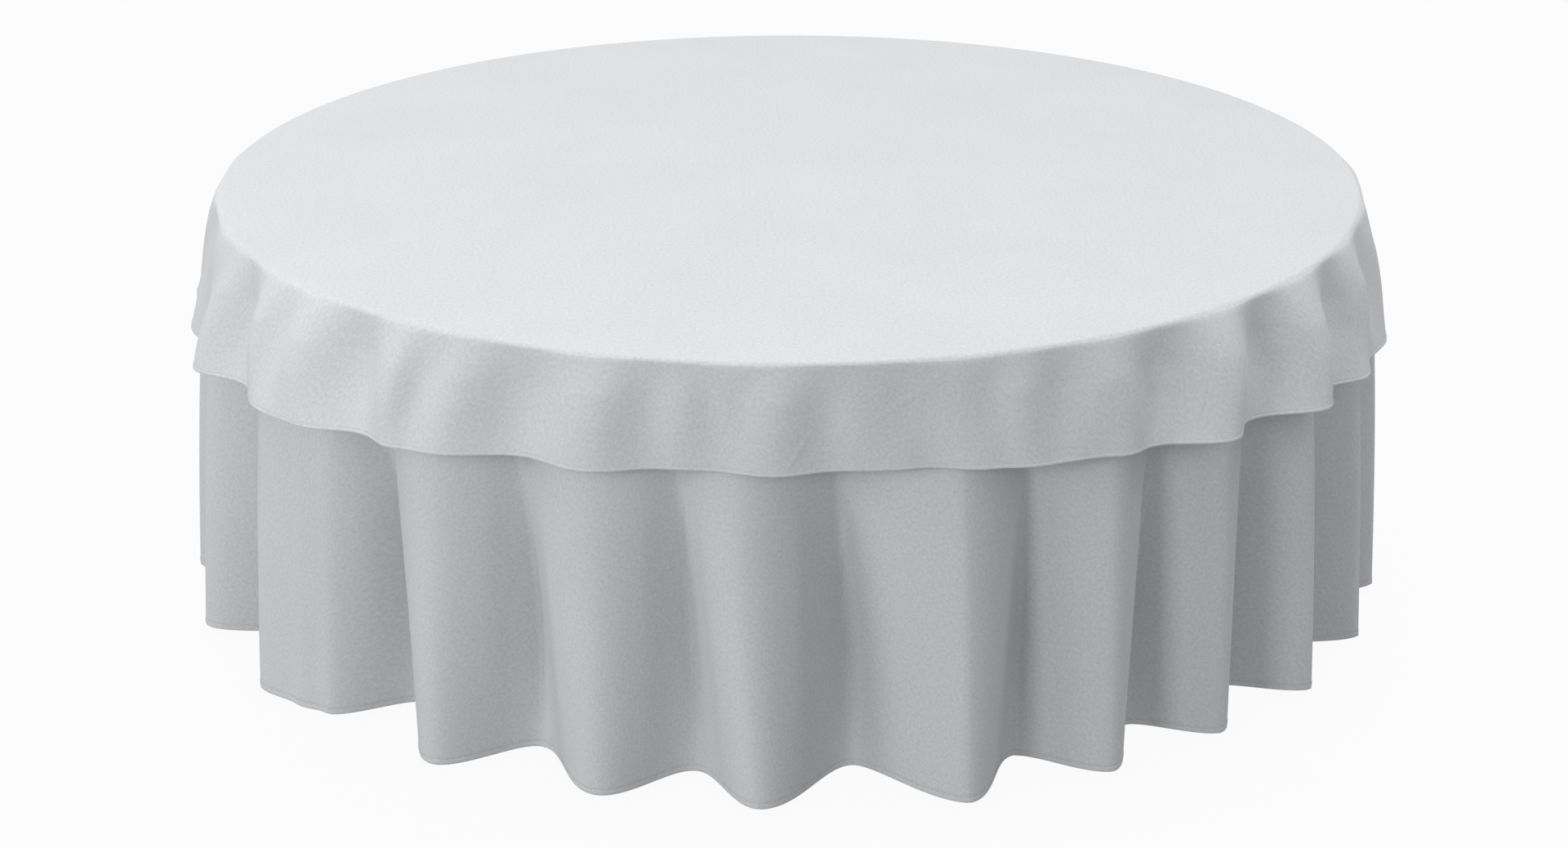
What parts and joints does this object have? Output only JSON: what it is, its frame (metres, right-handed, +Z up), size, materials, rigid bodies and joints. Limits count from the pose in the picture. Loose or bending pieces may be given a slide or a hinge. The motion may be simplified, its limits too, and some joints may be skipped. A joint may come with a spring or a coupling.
{
  "type": "tablecloth on a round table",
  "caption": "Round folding banquet table dressed with a floor-length fluted under cloth and a short round overlay cloth.",
  "frame": {"origin": "on the floor under the table's centre, level with the undersides of the foot glides", "axes": "+Z up through the table's centre, -Y towards the side seen first, +X to that viewer's right and along the runners"},
  "size_m": [2.3005, 2.2506, 0.765],
  "materials": {
    "under_cloth_fabric": "plain woven, matt, pale cool grey",
    "overlay_fabric": "plain woven, matt, pale cool grey",
    "plywood": "clear lacquered birch plywood",
    "hardwood": "planed and sealed",
    "vinyl_edge": "moulded, satin",
    "frame_steel": "powder coated, fine texture",
    "zinc_steel": "zinc plated",
    "glide_plastic": "moulded, matt"
  },
  "bodies": {
    "table": {"top_panel_left": "plywood", "edge_band_left": "vinyl_edge", "pivot_bracket_left_front": "zinc_steel", "screw_left_front_a": "zinc_steel", "screw_left_front_b": "zinc_steel", "pivot_bracket_left_back": "zinc_steel", "screw_left_back_a": "zinc_steel", "screw_left_back_b": "zinc_steel", "brace_bracket_left": "zinc_steel", "brace_top_pin_left": "zinc_steel", "top_panel_right": "plywood", "edge_band_right": "vinyl_edge", "pivot_bracket_right_front": "zinc_steel", "screw_right_front_a": "zinc_steel", "screw_right_front_b": "zinc_steel", "pivot_bracket_right_back": "zinc_steel", "screw_right_back_a": "zinc_steel", "screw_right_back_b": "zinc_steel", "brace_bracket_right": "zinc_steel", "brace_top_pin_right": "zinc_steel", "runner_front": "hardwood", "runner_back": "hardwood", "center_cleat": "hardwood", "under_cloth": "under_cloth_fabric"},
    "overlay": {"overlay_cloth": "overlay_fabric"},
    "left_leg_frame": {"pivot_tube_left": "frame_steel", "stretcher_left": "frame_steel", "leg_left_front": "frame_steel", "leg_left_back": "frame_steel", "foot_glide_left_front": "glide_plastic", "foot_glide_left_back": "glide_plastic"},
    "left_upper_link": {"brace_upper_link_left": "frame_steel", "brace_knee_rivet_left": "zinc_steel"},
    "left_lower_link": {"brace_lower_link_left": "frame_steel"},
    "right_leg_frame": {"pivot_tube_right": "frame_steel", "stretcher_right": "frame_steel", "leg_right_front": "frame_steel", "leg_right_back": "frame_steel", "foot_glide_right_front": "glide_plastic", "foot_glide_right_back": "glide_plastic"},
    "right_upper_link": {"brace_upper_link_right": "frame_steel", "brace_knee_rivet_right": "zinc_steel"},
    "right_lower_link": {"brace_lower_link_right": "frame_steel"}
  },
  "joints": [
    {"name": "overlay_lift", "type": "slide", "parent": "table", "child": "overlay", "axis": [0, 0, 1], "range_m": [0, 0.25]},
    {"name": "left_leg_fold", "type": "hinge", "parent": "table", "child": "left_leg_frame", "pos_m": [-0.74, 0, 0.6919], "axis": [0, -1, 0], "range_deg": [0, 90]},
    {"name": "left_upper_link_turn", "type": "hinge", "parent": "table", "child": "left_upper_link", "pos_m": [-0.4, 0, 0.6919], "axis": [0, 1, 0], "range_deg": [0, 49.7]},
    {"name": "left_lower_link_turn", "type": "hinge", "parent": "left_leg_frame", "child": "left_lower_link", "pos_m": [-0.74, 0, 0.2919], "axis": [0, -1, 0], "range_deg": [0, 40.5]},
    {"name": "right_leg_fold", "type": "hinge", "parent": "table", "child": "right_leg_frame", "pos_m": [0.74, 0, 0.6919], "axis": [0, 1, 0], "range_deg": [0, 90]},
    {"name": "right_upper_link_turn", "type": "hinge", "parent": "table", "child": "right_upper_link", "pos_m": [0.4, 0, 0.6919], "axis": [0, -1, 0], "range_deg": [0, 49.7]},
    {"name": "right_lower_link_turn", "type": "hinge", "parent": "right_leg_frame", "child": "right_lower_link", "pos_m": [0.74, 0, 0.2919], "axis": [0, 1, 0], "range_deg": [0, 40.5]}
  ],
  "couplings": [
    {"joint": "left_upper_link_turn", "follows": "left_leg_fold", "ratio": 0.5515},
    {"joint": "left_lower_link_turn", "follows": "left_leg_fold", "ratio": 0.4485},
    {"joint": "right_upper_link_turn", "follows": "right_leg_fold", "ratio": 0.5515},
    {"joint": "right_lower_link_turn", "follows": "right_leg_fold", "ratio": 0.4485}
  ]
}
